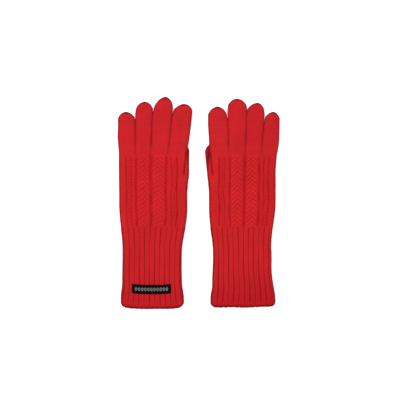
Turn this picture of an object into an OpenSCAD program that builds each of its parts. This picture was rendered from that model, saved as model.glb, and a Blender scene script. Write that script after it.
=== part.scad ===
// A pair of long knitted gloves, lying palm down with the fingers pointing along +Y.
// Each glove is worked out once in its own frame, where +X points to the index finger's side.
// The left glove is moved into place and the right one is its mirror image with its own fingers.

/* [Pair] */
// Distance between the middle lines of the two gloves
pair_spacing = 118; // [112:1:160]
// Length from the open end of the cuff to the tip of the longest finger
glove_length = 282; // [270:1:300]

/* [Cuff] */
// Length of the ribbed cuff, hem included
cuff_length = 108; // [90:1:125]
// Width of the cuff lying flat
cuff_width = 80.5; // [76:0.5:86]
// Width at the open end, where the cuff flares
hem_width = 85; // [80:0.5:88]
// Length of the turned hem
hem_length = 4.5; // [3:0.5:8]
// Extra thickness of the turned hem
hem_extra = 0.8; // [0.2:0.1:1.5]

/* [Hand] */
// Length from the wrist line to the knuckle line
hand_length = 101; // [90:1:110]
// Width at the wrist line
wrist_width = 88; // [84:0.5:92]
// Width across the palm
palm_width = 92; // [90:0.5:94]
// Thickness of the hand and the cuff lying flat
glove_thickness = 9.5; // [9:0.25:12]
// Thickness of the knitted wall
wall = 2.1; // [1.5:0.1:2.3]

/* [Fingers] */
// Widths at the knuckle line: little, ring, middle and index finger
knuckle_widths = [22.5, 20.5, 23, 27.5];
// Widths of the left glove's fingers near their tips, in the same order
left_tip_widths = [25, 23, 25.3, 26.2];
// Widths of the right glove's fingers near their tips, in the same order
right_tip_widths = [22.5, 23, 25, 25];
// Lengths of the left glove's fingers, in the same order
left_lengths = [53, 66.5, 73, 63.5];
// Lengths of the right glove's fingers, in the same order
right_lengths = [53, 65, 70.5, 60];
// Thickness of a finger lying flat
finger_thickness = 9; // [8.5:0.25:11]
// Length of the rounded tip
tip_length = 17; // [12:0.5:22]
// Gap that keeps neighbouring fingers free of each other
finger_gap = 0.5; // [0.4:0.1:1]

/* [Thumb] */
// Length of the thumb from the top of its gusset
thumb_length = 67; // [60:1:70]
// Width of the thumb lying flat
thumb_width = 23; // [20:0.5:24]
// Thickness of the thumb lying flat under the palm
thumb_thickness = 7.8; // [7.6:0.1:9]
// Height of the thumb's base above the wrist line
thumb_height = 41; // [36:1:44]
// How far the thumb's tip lies outward of its base
thumb_lean = 7; // [3:0.5:9]

/* [Label] */
// Length of the woven label
label_length = 52; // [30:1:60]
// Width of the woven label
label_width = 12.5; // [8:0.5:16]
// Thickness of the woven label
label_thickness = 0.8; // [0.4:0.1:1.2]
// Length of one stitch
stitch_length = 2.4; // [1.5:0.1:3]

/* [Hidden] */

// Stations along the glove, from the open end of the cuff to the fingertips
y_open = -glove_length / 2;
y_hem = y_open + hem_length;
y_wrist = y_open + cuff_length;
y_knuckle = y_wrist + hand_length;
y_thumb = y_wrist + thumb_height;

// Half of the gap between solids that move against each other
part_gap = 0.15;
flare_length = 14;
cuff_rise_length = 27;
hand_rise_length = 34;
knuckle_width = knuckle_widths[0] + knuckle_widths[1] + knuckle_widths[2] + knuckle_widths[3];
// Outer edge of the little finger near its tip, and how far up the fingers that edge is reached
tip_edge = -49.5;
tip_reach = 47;

// The palm rides up over the thumb that lies under it
thumb_clearance = 0.4;
lift = thumb_thickness + thumb_clearance;
thumb_outer_edge = 44.5;
thumb_inner_edge = thumb_outer_edge - thumb_width;
lift_start = 7;
lift_end = thumb_inner_edge;
lift_fade = 27;
tip_clearance = 2;

// Steps around the folded edges, across the flat faces and along each length
turn_steps = 3;
finger_flats = 4;
hand_flats = 12;
side_steps = 4;
dome_steps = 5;
dome_angle = 80;
// Share of the full height and of the side wall that is left at the end of a rounded tip
tip_height = 0.5;
tip_wall = 0.4;
// Share of the wall's thickness in the flattened faces of the thumb
flat_wall = 0.8;
cuff_steps = 6;
gusset_steps = 5;
palm_steps = 7;
// Steps across the palm's flat face, counted from the little finger's side, where the gusset starts
gusset_start = 7;

knit_red = [0.76, 0.13, 0.15];
rib_red = [0.72, 0.12, 0.14];
label_black = [0.06, 0.05, 0.05];
thread_black = [0.12, 0.11, 0.11];

// The label's middle, from the glove's middle line and from the cuff's open end
label_x = -3.5;
label_y = y_open + 25.5;
stitch_inset = 1.2;
stitch_gap = 1.5;
stitch_d = 0.5;

// Rises smoothly from 0 at a to 1 at b
function smooth(v, a, b) =
    let (t = min(1, max(0, (v - a) / (b - a))))
    t * t * (3 - 2 * t);

function mix(a, b, t) = a + (b - a) * t;

function total(widths, count) = count == 0 ? 0 : widths[count - 1] + total(widths, count - 1);

// Half width of the cuff and the hand at a station along the glove
function half_width(y) =
    lookup(y, [
        [y_open, hem_width / 2],
        [y_open + flare_length, cuff_width / 2],
        [y_wrist - cuff_rise_length, cuff_width / 2],
        [y_wrist, wrist_width / 2],
        [y_wrist + hand_rise_length, palm_width / 2],
        [y_knuckle, knuckle_width / 2]
    ]);

// How far the thumb's middle line has leaned outward at a station
function thumb_shift(y) = thumb_lean * (y - y_thumb) / thumb_length;

// Height by which the knit rides over the thumb at a point, on a ramp that leans with the thumb
function lift_at(x, y) =
    let (shift = max(0, thumb_shift(y)), y_tip = y_thumb + thumb_length)
    lift * smooth(x, lift_start + shift, lift_end + shift) * smooth(y, y_wrist, y_thumb)
    * (1 - smooth(y, y_tip + tip_clearance, y_tip + lift_fade));

// Points around a flattened tube as [x, z], from its right-hand fold over the top and back below
function ring(half, rise, flats) =
    let (r = min(rise, 0.9 * half), flat = half - r, step = 90 / turn_steps)
    concat(
        [for (k = [0 : turn_steps]) [flat + r * cos(step * k), rise * sin(step * k)]],
        [for (k = [1 : flats]) [flat - 2 * flat * k / flats, rise]],
        [for (k = [1 : turn_steps]) [-flat - r * sin(step * k), rise * cos(step * k)]],
        [for (k = [1 : turn_steps]) [-flat - r * cos(step * k), -rise * sin(step * k)]],
        [for (k = [1 : flats]) [2 * flat * k / flats - flat, -rise]],
        [for (k = [1 : turn_steps - 1]) [flat + r * sin(step * k), -rise * cos(step * k)]]
    );

// Number of points along the upper half of a ring, and the whole ring's number
function half_count(flats) = 2 * turn_steps + flats + 1;
function ring_count(flats) = 4 * turn_steps + 2 * flats;

// Closed solid between an outer and an inner grid of points, rows[j][i].
// keep(j, i) tells which cells are there; wrap joins each row's end to its start.
// cap closes the last row of both grids, as at a fingertip.
module shell(outer, inner, keep = function (j, i) true, wrap = false, cap = false) {
    rows = len(outer);
    cols = len(outer[0]);
    cells = wrap ? cols : cols - 1;
    there = function (j, i)
        j >= 0 && j < rows - 1 && (wrap || (i >= 0 && i < cells)) && keep(j, (i + cells) % cells);
    out = function (j, i) j * cols + i % cols;
    inn = function (j, i) rows * cols + j * cols + i % cols;
    last = rows - 1;
    polyhedron(
        points = concat([for (row = outer) each row], [for (row = inner) each row]),
        faces = concat(
            [for (j = [0 : rows - 2], i = [0 : cells - 1]) if (there(j, i)) each [
                [out(j, i), out(j + 1, i), out(j + 1, i + 1)],
                [out(j, i), out(j + 1, i + 1), out(j, i + 1)],
                [inn(j, i), inn(j + 1, i + 1), inn(j + 1, i)],
                [inn(j, i), inn(j, i + 1), inn(j + 1, i + 1)]
            ]],
            [for (j = [0 : rows - 2], i = [0 : cells - 1]) if (there(j, i) && !there(j - 1, i)) each [
                [out(j, i), out(j, i + 1), inn(j, i + 1)],
                [out(j, i), inn(j, i + 1), inn(j, i)]
            ]],
            [for (j = [0 : rows - 2], i = [0 : cells - 1])
                if (there(j, i) && !there(j + 1, i) && !(cap && j == rows - 2)) each [
                [out(j + 1, i + 1), out(j + 1, i), inn(j + 1, i)],
                [out(j + 1, i + 1), inn(j + 1, i), inn(j + 1, i + 1)]
            ]],
            [for (j = [0 : rows - 2], i = [0 : cells - 1]) if (there(j, i) && !there(j, i - 1)) each [
                [out(j + 1, i), out(j, i), inn(j, i)],
                [out(j + 1, i), inn(j, i), inn(j + 1, i)]
            ]],
            [for (j = [0 : rows - 2], i = [0 : cells - 1]) if (there(j, i) && !there(j, i + 1)) each [
                [out(j, i + 1), out(j + 1, i + 1), inn(j + 1, i + 1)],
                [out(j, i + 1), inn(j + 1, i + 1), inn(j, i + 1)]
            ]],
            cap ? [
                [for (i = [0 : cols - 1]) out(last, cols - 1 - i)],
                [for (i = [0 : cols - 1]) inn(last, i)]
            ] : []
        ),
        convexity = 6
    );
}

// Moves a glove's own frame into the pair, mirrored for the right hand
module placed(right) {
    translate([(right ? 1 : -1) * pair_spacing / 2, 0, 0])
        if (right) mirror([1, 0, 0]) children();
        else children();
}

// Length of tube between two stations, open at both ends
module cuff_tube(from, to, steps, extra) {
    rise = (glove_thickness + extra) / 2;
    grid = function (inset) [
        for (j = [0 : steps])
            let (y = mix(from, to, j / steps))
            [for (p = ring(half_width(y) + extra / 2 - inset, rise - inset, hand_flats / 2))
                [p[0], y, p[1] + rise]]
    ];
    shell(grid(0), grid(wall), wrap = true);
}

module ribbed_cuff(right) {
    color(rib_red) placed(right) cuff_tube(y_hem, y_wrist - part_gap, cuff_steps, 0);
}

module cuff_hem(right) {
    color(rib_red) placed(right) cuff_tube(y_open, y_hem, 1, hem_extra);
}

// Stations of the hand, with one at the thumb's base
hand_rows = concat(
    [for (j = [0 : gusset_steps - 1]) mix(y_wrist + part_gap, y_thumb, j / gusset_steps)],
    [for (j = [0 : palm_steps]) mix(y_thumb, y_knuckle - part_gap, j / palm_steps)]
);

// Rows of the hand's wall between two positions around its ring, riding over the thumb
function hand_grid(inset, first, last) = [
    for (y = hand_rows)
        let (rise = glove_thickness / 2, count = ring_count(hand_flats),
             points = ring(half_width(y) - inset, rise - inset, hand_flats))
        [for (i = [first : last])
            let (p = points[i % count])
            [p[0], y, p[1] + rise + lift_at(p[0], y)]]
];

// Positions around the ring: the seam on the little finger's side, the gusset's inner edge
// and the seam on the index finger's side
seam_little = half_count(hand_flats) - 1;
gusset_edge = seam_little + turn_steps + gusset_start;
seam_index = ring_count(hand_flats);

module cable_back(right) {
    color(knit_red) placed(right)
        shell(hand_grid(0, 0, seam_little), hand_grid(wall, 0, seam_little));
}

// The palm leaves out the cells that the thumb's gusset fills
module palm_panel(right) {
    gusset_cells = gusset_edge - seam_little;
    color(knit_red) placed(right)
        shell(
            hand_grid(0, seam_little, seam_index),
            hand_grid(wall, seam_little, seam_index),
            function (j, i) j >= gusset_steps || i < gusset_cells
        );
}

// The gusset keeps to the surface that the glove lies on and reaches up to the side seam
module thumb_gusset(right) {
    rise = glove_thickness / 2;
    count = ring_count(hand_flats);
    rows = [for (j = [0 : gusset_steps]) hand_rows[j]];
    grid = function (inset) [
        for (y = rows)
            let (points = ring(half_width(y) - inset, rise - inset, hand_flats))
            [for (i = [gusset_edge : seam_index])
                let (p = points[i % count],
                     up = lift_at(half_width(y), y),
                     stretch = (rise - inset + up) / (rise - inset))
                [p[0], y, inset + (p[1] + rise - inset) * stretch]]
    ];
    color(knit_red) placed(right) shell(grid(0), grid(wall));
}

// Edge between fingers at a station: edge 0 is outside the little finger, edge 4 outside the index
function finger_edge(count, y, tip_widths) =
    mix(
        total(knuckle_widths, count) - knuckle_width / 2,
        tip_edge + total(tip_widths, count),
        (y - y_knuckle) / tip_reach
    );

// Rows of a closed-end tube as [station, share of full width], with a rounded tip
function sleeve_rows(start, length, dome) = concat(
    [for (j = [0 : side_steps - 1]) [mix(start, start + length - dome, j / side_steps), 1]],
    [for (j = [0 : dome_steps])
        let (a = dome_angle * j / dome_steps)
        [start + length - dome + dome * sin(a) / sin(dome_angle), cos(a)]]
);

// A finger is one knitted tube, open at the knuckle line and closed at its tip.
// number counts from 0 at the little finger to 3 at the index finger.
module finger_sleeve(right, number) {
    tip_widths = right ? right_tip_widths : left_tip_widths;
    length = (right ? right_lengths : left_lengths)[number] - part_gap;
    start = y_knuckle + part_gap;
    grid = function (inset) [
        for (row = sleeve_rows(start, length - inset, tip_length))
            let (y = row[0],
                 low = finger_edge(number, y, tip_widths) + finger_gap / 2,
                 high = finger_edge(number + 1, y, tip_widths) - finger_gap / 2,
                 middle = (low + high) / 2,
                 half = (high - low) / 2 * row[1] - inset * mix(tip_wall, 1, row[1]),
                 rise = finger_thickness / 2 * mix(tip_height, 1, row[1]),
                 inner_rise = rise - inset * mix(tip_height, 1, row[1]))
            [for (p = ring(half, inner_rise, finger_flats))
                [middle + p[0], y, p[1] + rise + lift_at(middle + p[0], y)]]
    ];
    color(knit_red) placed(right) shell(grid(0), grid(wall), wrap = true, cap = true);
}

// The thumb lies under the palm and leans outward, so that its tip shows beside the hand
module thumb_sleeve(right) {
    start = y_thumb + 2 * part_gap;
    grid = function (inset) [
        for (row = sleeve_rows(start, thumb_length - 2 * part_gap - inset, tip_length))
            let (y = row[0],
                 middle = thumb_outer_edge - thumb_width / 2 + thumb_shift(y),
                 half = thumb_width / 2 * row[1] - inset * mix(tip_wall, 1, row[1]),
                 rise = thumb_thickness / 2 * mix(tip_height, 1, row[1]),
                 inner_rise = rise - inset * mix(tip_height, 1, row[1]) * flat_wall)
            [for (p = ring(half, inner_rise, finger_flats)) [middle + p[0], y, p[1] + rise]]
    ];
    color(knit_red) placed(right) shell(grid(0), grid(wall), wrap = true, cap = true);
}

module woven_label() {
    color(label_black) placed(false)
        translate([label_x - label_length / 2, label_y - label_width / 2, glove_thickness])
            cube([label_length, label_width, label_thickness]);
}

// One row of stitches along X, centred on the origin
module stitch_row(length) {
    pitch = stitch_length + stitch_gap;
    count = floor((length + stitch_gap) / pitch);
    for (k = [0 : count - 1])
        translate([(k - (count - 1) / 2) * pitch - stitch_length / 2, 0, 0])
            rotate([0, 90, 0]) cylinder(h = stitch_length, d = stitch_d, $fn = 12);
}

module label_stitches() {
    side = label_width / 2 - stitch_inset;
    end = label_length / 2 - stitch_inset;
    color(thread_black) placed(false)
        translate([label_x, label_y, glove_thickness + label_thickness + stitch_d / 2]) {
            for (s = [-1, 1]) {
                translate([0, s * side, 0]) stitch_row(label_length - 4 * stitch_inset);
                translate([s * end, 0, 0]) rotate([0, 0, 90]) stitch_row(label_width - 2 * stitch_inset);
            }
        }
}

ribbed_cuff(false);  // left_ribbed_cuff
cuff_hem(false);  // left_cuff_hem
cable_back(false);  // left_cable_back
palm_panel(false);  // left_palm_panel
thumb_gusset(false);  // left_thumb_gusset
thumb_sleeve(false);  // left_thumb_sleeve
finger_sleeve(false, 3);  // left_index_sleeve
finger_sleeve(false, 2);  // left_middle_sleeve
finger_sleeve(false, 1);  // left_ring_sleeve
finger_sleeve(false, 0);  // left_little_sleeve
woven_label();  // left_woven_label
label_stitches();  // left_label_stitches
ribbed_cuff(true);  // right_ribbed_cuff
cuff_hem(true);  // right_cuff_hem
cable_back(true);  // right_cable_back
palm_panel(true);  // right_palm_panel
thumb_gusset(true);  // right_thumb_gusset
thumb_sleeve(true);  // right_thumb_sleeve
finger_sleeve(true, 3);  // right_index_sleeve
finger_sleeve(true, 2);  // right_middle_sleeve
finger_sleeve(true, 1);  // right_ring_sleeve
finger_sleeve(true, 0);  // right_little_sleeve
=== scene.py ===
import math

import bmesh
import bpy
import numpy as np
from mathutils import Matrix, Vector


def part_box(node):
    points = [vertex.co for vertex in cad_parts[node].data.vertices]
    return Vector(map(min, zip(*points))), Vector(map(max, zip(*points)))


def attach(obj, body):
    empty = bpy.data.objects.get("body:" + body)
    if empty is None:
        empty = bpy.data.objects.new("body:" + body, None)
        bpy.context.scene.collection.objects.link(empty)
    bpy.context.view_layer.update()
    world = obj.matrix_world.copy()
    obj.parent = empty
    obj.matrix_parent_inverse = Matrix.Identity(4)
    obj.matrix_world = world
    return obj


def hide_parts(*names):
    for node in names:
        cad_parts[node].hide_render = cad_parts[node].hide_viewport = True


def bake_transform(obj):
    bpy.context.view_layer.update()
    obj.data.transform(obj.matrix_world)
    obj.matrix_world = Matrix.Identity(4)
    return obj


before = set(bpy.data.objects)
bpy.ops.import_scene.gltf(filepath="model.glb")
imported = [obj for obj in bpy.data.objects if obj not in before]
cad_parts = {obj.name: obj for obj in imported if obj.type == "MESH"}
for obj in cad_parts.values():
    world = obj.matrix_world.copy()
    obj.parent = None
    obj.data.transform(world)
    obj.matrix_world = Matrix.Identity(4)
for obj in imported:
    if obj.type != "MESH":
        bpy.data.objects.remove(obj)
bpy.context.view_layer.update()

# Lengths below are in millimetres; meshes are written in metres.
MM = 0.001

# ---- driving sizes
WALL = 2.1  # thickness of the knitted wall
FINGER_WALL = 0.9 * WALL
HEM_WALL = WALL + 0.7  # the hem is turned double
WALES_ROUND_HAND = 84  # columns of stitches around the hand
RIBS_ROUND_CUFF = 25  # ribs around the cuff
WALES_PER_RIB = 3
WALES_ROUND_FINGER = 25
COURSE = 1.75  # height of one row of stitches
STITCH_RELIEF = 0.24  # how far a stitch stands out of the knit
STITCH_LEAN = 0.55  # how far the arms of its V climb, in rows
STITCH_ACROSS = 0.6  # how round its yarn is across the V's arms, and along them
STITCH_ALONG = 0.5
CELL = 0.43  # spacing of the mesh's points on the outside
CUFF_CELL = 0.47  # the same, along the cuff
CUFF_ROUND = 176.0  # about the length round the cuff, and across the hand
HAND_ACROSS = 97.0
COARSE = 4  # the inside has one cell for this many outside

PALM_RAMP = (7.0, 21.5)  # across the palm, where the knit rides up over the thumb
BACK_RAMP = (-14.0, 26.0)  # the back of the hand rises more gently
RAMP_FADE = (2, 27)  # beyond the thumb's tip, where it comes down again
THUMB_CLEARANCE = 0.4
FINGERS = ("little", "ring", "middle", "index")

# How each glove lies, seen from above. Distances run from its middle line, the little finger's
# side being negative. Edges are the lines between the fingers, at the knuckles and further up.
# Flare, bow, drop and wave shape the cuff's open end; apex moves a fingertip's point sideways. The last two
# entries are painted shade: shares of the colour towards the cuff's open end and on the little finger's
# side.
SHAPES = {
    "left": {
        "cuff": (-42.0, 36.5), "hand": (-46.9, 44.0), "flare": (-2.2, 2.1), "flare_from": (30, 30),
        "bulge": 2.2, "crease": (39.8, 42.8), "knuckle_edges": (-47.0, -24.9, -4.8, 18.6, 43.6),
        "upper_edges": (-48.6, -24.7, -1.5, 24.2, 50.6), "apex": (-0.9, -0.4, 1.3, 0.6),
        "dome": (10.5, 10.5, 14.5, 10.5), "thumb_edge": (43.4, 47.2), "thumb_apex": 2.0,
        "bow": (1.0, 2.2, 3.4), "drop": (-0.9, -0.5), "rib_phase": 0.5, "wave": 0.12, "hem_shade": 0.76,
        "little_side_shade": 1.0,
    },
    "right": {
        "cuff": (-37.6, 39.9), "hand": (-43.3, 44.9), "flare": (-5.3, 2.9), "flare_from": (60, 28),
        "bulge": 2.6, "crease": (40.6, 44.0), "knuckle_edges": (-46.2, -24.8, -3.2, 18.9, 44.4),
        "upper_edges": (-48.7, -28.5, -5.0, 20.3, 46.3), "apex": (-1.2, -1.9, 0.0, -0.4),
        "dome": (9.8, 10.0, 10.0, 11.5), "thumb_edge": (44.2, 51.0), "thumb_apex": 0.3,
        "bow": (0.5, 0.8, 3.6), "drop": (0.9, 1.9), "rib_phase": -0.28, "wave": 0.3, "hem_shade": 0.63,
        "little_side_shade": 0.91,
    },
}

# Spans along the hand or the sleeves are given from the place that each comment names
LOW_WRIST = (-29, 33)  # the wrist: the little finger's side widens
HIGH_WRIST = (-33, 25)  # the wrist: the index finger's side widens
LOW_KNUCKLE = (-33, 7)  # the knuckles: the hand's side meets the little finger
FLARE_END = 7  # the cuff's open end: the flare is full
BULGE_OUT = (8, 32)  # the thumb's base: the side swells over the thumb
BULGE_BACK = (-24, -2)  # the knuckles: it goes back
EDGE_SPAN = 47.0  # from the knuckles up to where the upper edges are given
NEARLY_STRAIGHT = 3  # an outer side that leans less than this is bowed
THUMB_REACH = 3.0  # how far the knitted thumb goes past the CAD thumb's tip
THUMB_SPAN = 62.0  # the thumb's length over which it leans out
THUMB_DOME = 11.0
THUMB_SWELL = 3.0  # height by which the thumb swells beside the hand
SWELL_ACROSS = (-0.5, 3)  # the hand's side: the swelling starts
SWELL_ALONG = (30, 48)  # the thumb's base: the same
CREASE_DEPTH = 1.1  # of the fold beside the thumb
CREASE_START = 31  # from the thumb's base
CREASE_LENGTH = 34
CREASE_IN = (-7, 2)  # the fold's start: it appears
CREASE_OUT = (30, 38)  # and ends
CREASE_WIDTH = (0.8, 1.05)  # at its end and its start

# Painted shade on the wool, as shares of the full colour
SIDE_SHADE = 0.6  # how much painted shade darkens the wool along the sides
SIDE_SPAN = (0.2, 2.8)  # the side: where that ends
STEEP_SHADE = 0.9  # and how much painted shade darkens it where the knit turns away from above
HEM_SHADE_REACH = 70  # how far up the cuff the painted shade of its open end goes
LITTLE_SIDE_SPAN = (-45, 30)  # the middle line: the painted shade on the little finger's side ends
# painted shade of the inside surfaces
INSIDE_SHADE = 0.35
# painted shade at the point that closes each fingertip
TIP_POLE_SHADE = 0.6

# Ribs of the cuff; widths are shares of a rib
GUTTER_WIDTH = 0.115
GUTTER_DEPTH = 0.95
GUTTER_END = (4, 11)  # the open end: the gutters fade into the hem
RIB_CROWN = 0.35
RIB_WANDER = 0.0012

# Columns of the hand's back, from its own middle towards the index finger
HALF_BACK = 48.7
PURL_COLUMNS = (  # centre, half width and depth of each sunken column
    (-36.0, 0.95, 0.75),
    (-29.4, 0.85, 0.65),
    (-22.7, 1.7, 0.7),
    (-2.9, 2.3, 0.72),
    (17.4, 1.7, 0.7),
    (24.8, 0.85, 0.6),
    (32.2, 1.0, 0.85),
)
PURL_DEPTH = 0.72  # share of the depths above
PURL_WANDER = 0.55
PURL_END = (-9.5, -3)  # the knuckles: the sunken columns end, in a slight arc
CABLE_END = (-9, -4)  # the knuckles: the cables end
CHEVRONS = ((-20.6, -5.6), (-0.3, 15.3))
CHEVRON_PITCH = 6.1
CHEVRON_FALL = 7.6  # how far its strands fall from the middle to the sides
CHEVRON_RELIEF = 1.7
TWISTS = ((-35.0, -30.3), (25.7, 31.1))
TWIST_PITCH = 4.3
TWIST_LEAN = 0.85
TWIST_RELIEF = 1.5
STRAND_ROUND = 0.75  # how round a cable's strands are
VALLEY_DEPTH = 0.5  # of the dips between the fingers' bases

LABEL_THREAD = 0.3  # spacing of the label's threads
LABEL_THICK = 0.6
MOTIF_PITCH = 4.1
MOTIF_HALF = 22.4  # half the length of the row of diamonds
DIAMOND_HALF = 1.4
DIAMOND_LINE = 0.3
DIAMOND_SQUASH = 0.62
RIB_TOP = 0.42  # how far the ribs' tops stand over the plain cuff

# Where each unevenness starts its random numbers
SEEDS = {
    "ribs": 31, "purl": 5, "purl_depth": 17, "chevron": 61, "chevron_rows": 83,
    "slack": 11, "sag": 23, "label_long": 91, "label_short": 92, "fingers": 3, "thumb": 57,
}


def smooth(v, a, b):
    """Rises smoothly from 0 at a to 1 at b."""
    t = np.clip((v - a) / (b - a), 0, 1)
    return t * t * (3 - 2 * t)


def over(v, origin, span):
    """The same, over a span that is given from an origin."""
    return smooth(v, origin + span[0], origin + span[1])


def mix(a, b, t):
    return a + (b - a) * t


def hump(distance, width):
    return np.exp(-((distance / width) ** 2))


def wobble(x, y, seed, size=60.0):
    """A slow, smooth unevenness between about -1 and 1, the same each run."""
    rng = np.random.default_rng(seed)
    waves, level = 5, 2.6
    total = 0
    for k in range(waves):
        angle, phase = rng.uniform(0, 2 * math.pi, 2)
        reach = size * rng.uniform(0.5, 1.4)
        along = x * math.cos(angle) + y * math.sin(angle)
        total = total + np.sin(2 * math.pi * along / reach + phase)
    return total / level


# ---- the CAD frame
class Glove:
    """One glove's own frame: x towards the index finger from the middle line, y towards the fingertips."""

    def __init__(self, side):
        self.side = side
        self.sign = 1 if side == "left" else -1
        self.shape = SHAPES[side]
        back, cuff = self.box("cable_back"), self.box("ribbed_cuff")
        hem, thumb = self.box("cuff_hem"), self.box("thumb_sleeve")
        ring = self.box("ring_sleeve")
        slant = 0.77  # share of the leaning thumb's box that is its own width
        self.centre = (back[0][0] + back[1][0]) / 2
        self.y_open, self.y_hem = hem[0][1], hem[1][1]
        self.y_wrist = (cuff[1][1] + back[0][1]) / 2
        self.y_knuckle = (back[1][1] + ring[0][1]) / 2
        self.y_thumb, self.y_thumb_tip = self.box("thumb_gusset")[1][1], thumb[1][1]
        self.rise = cuff[1][2] / 2
        self.finger_rise = ring[1][2] / 2
        self.thumb_rise = thumb[1][2] / 2
        self.thumb_width = (thumb[1][0] - thumb[0][0]) * slant
        self.lift = thumb[1][2] + THUMB_CLEARANCE

    def box(self, part):
        return np.array(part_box(f"{self.side}_{part}")) / MM

    def side_edge(self, n, y, wrist):
        """Side n of the cuff and the hand: 0 is the little finger's, 1 the index finger's."""
        edge = mix(self.shape["cuff"][n], self.shape["hand"][n], over(y, self.y_wrist, wrist))
        flare = (self.shape["flare_from"][n], FLARE_END)
        return edge + self.shape["flare"][n] * over(y, self.y_open, flare)

    def low_edge(self, y):
        """The side below the little finger."""
        spread = self.shape["knuckle_edges"][0] - self.shape["hand"][0]
        return self.side_edge(0, y, LOW_WRIST) + spread * over(y, self.y_knuckle, LOW_KNUCKLE)

    def high_edge(self, y):
        """The side below the index finger, before it swells over the thumb."""
        return self.side_edge(1, y, HIGH_WRIST)

    def bulge(self, y):
        """How far the hand's side swells over the thumb under it."""
        out = over(y, self.y_thumb, BULGE_OUT)
        return self.shape["bulge"] * out * (1 - over(y, self.y_knuckle, BULGE_BACK))

    def crease(self, x, y):
        """Share of the fold's depth, where the hand's back folds in beside the thumb."""
        up = y - self.y_thumb - CREASE_START
        line = mix(*self.shape["crease"], up / CREASE_LENGTH)
        ends = over(up, 0, CREASE_IN) * (1 - over(up, 0, CREASE_OUT))
        return ends * hump(x - line, mix(*CREASE_WIDTH, smooth(up, CREASE_OUT[0], 0)))

    def finger_edge(self, n, y):
        """Edge n between the fingers: 0 is the little finger's outer side, 4 the index finger's."""
        low, high = self.shape["knuckle_edges"][n], self.shape["upper_edges"][n]
        t = (y - self.y_knuckle) / EDGE_SPAN
        if n in (0, 4) and abs(high - low) < NEARLY_STRAIGHT:
            t = 1 - (1 - np.clip(t, -1, 1)) ** 2
        return low + (high - low) * t

    def thumb_puff(self, x, y):
        """How far the thumb swells up past the hand's side."""
        side = self.high_edge(y) + self.bulge(y)
        return THUMB_SWELL * over(x, side, SWELL_ACROSS) * over(y, self.y_thumb, SWELL_ALONG)

    def thumb_lean(self, y):
        near, far = self.shape["thumb_edge"]
        return (far - near) * np.clip((y - self.y_thumb) / THUMB_SPAN, 0, 1.1)

    def lift_at(self, x, y, ramp=PALM_RAMP):
        """Height by which the knit rides over the thumb under it."""
        across = over(x, self.thumb_lean(y), ramp)
        up = smooth(y, self.y_wrist, self.y_thumb)
        down = 1 - over(y, self.y_thumb_tip, RAMP_FADE)
        return self.lift * across * up * down

    def lift_between(self, x, y, z, rise):
        """The same for a flattened tube, whose back and palm sides rise differently."""
        share = np.clip(0.5 + 0.5 * z / rise, 0, 1)
        return mix(self.lift_at(x, y), self.lift_at(x, y, BACK_RAMP), share)

    def to_frame(self, points):
        """Points of the glove's own frame as points of the shared frame, in metres."""
        out = points.reshape(-1, 3).copy()
        out[:, 0] = self.centre + self.sign * out[:, 0]
        return out * MM

    def spot(self, x, y):
        """One place on the floor, for a bend to start or end at."""
        return tuple(self.to_frame(np.array([[x, y, 0]]))[0])


# ---- knit patterns
def stitches(s, t):
    """Height of stocking stitch: a column of Vs for each whole s, a row for each t."""
    a = np.abs(np.mod(s, 1) - 0.5) * 2
    b = np.mod(t - STITCH_LEAN * a, 1)
    return np.sin(np.pi * a) ** STITCH_ACROSS * np.sin(np.pi * b) ** STITCH_ALONG


def rib_phase(glove, u):
    """Counts ribs around the cuff; a gutter lies at each whole number."""
    return (u - 0.25) * RIBS_ROUND_CUFF + glove.shape["rib_phase"]


def rib_gutter(phase, width):
    return hump(phase - np.round(phase), width)


def cuff_relief(glove, u, y):
    """Wide knit ribs with narrow gutters between them."""
    uneven = wobble(y, u * 160, SEEDS["ribs"] + glove.sign, 45)
    phase = rib_phase(glove, u + RIB_WANDER * uneven)
    from_gutter = np.abs(phase - np.round(phase))
    strength = 0.72 + 0.2 * np.sin(np.round(phase) * 2.4 + y / 19.0)
    gutter = strength * rib_gutter(phase, GUTTER_WIDTH)
    crown = RIB_CROWN * np.sin(np.pi * np.clip(from_gutter * 2, 0, 1)) ** 0.5
    depth = GUTTER_DEPTH * mix(0.1, 1.0, over(y, glove.y_open, GUTTER_END))
    knit = stitches(phase * WALES_PER_RIB, y / COURSE)
    return crown - depth * gutter + STITCH_RELIEF * knit * (1 - 0.6 * gutter)


def strands(phase):
    return np.abs(np.sin(np.pi * phase)) ** STRAND_ROUND


def purl_cuts(glove, q, y):
    """The sunken columns: their depth, and where they are."""
    depth = sunken = np.zeros_like(q + y)
    for n, (place, half, deep) in enumerate(PURL_COLUMNS):
        wander = PURL_WANDER * wobble(y, n * 40.0, SEEDS["purl"] + n + glove.sign, 42)
        cut = np.exp(-(np.abs((q - place - wander) / half) ** 2.6))
        uneven = 1 + 0.2 * wobble(y, n * 25.0, SEEDS["purl_depth"] + n + glove.sign, 20)
        depth = depth + PURL_DEPTH * deep * cut * uneven
        sunken = np.maximum(sunken, cut)
    return depth, sunken


def chevron(glove, n, q, y):
    """A wide cable of strands that fall to both sides: its height, and where it is."""
    low, high = CHEVRONS[n]
    offset = q - (low + high) / 2 - 0.3 * wobble(y, n * 70.0, SEEDS["chevron"] + n, 40)
    across = np.abs(offset) / ((high - low) / 2)
    inside = np.clip(1 - across ** 8, 0, 1) * (across < 1)
    skew = 0.22 * np.sign(offset) * smooth(across, 0, 0.2)
    loose = 0.1 * wobble(y, n * 30.0, SEEDS["chevron_rows"] + n + glove.sign, 35)
    fall = CHEVRON_FALL * across ** 0.85 + 1.7 * n
    strand = strands((y + fall) / CHEVRON_PITCH + skew + loose)
    crown = 0.45 * (1 - 0.45 * across ** 2)
    return crown - CHEVRON_RELIEF / 2 + CHEVRON_RELIEF * strand * mix(1, 0.85, across), inside


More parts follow.
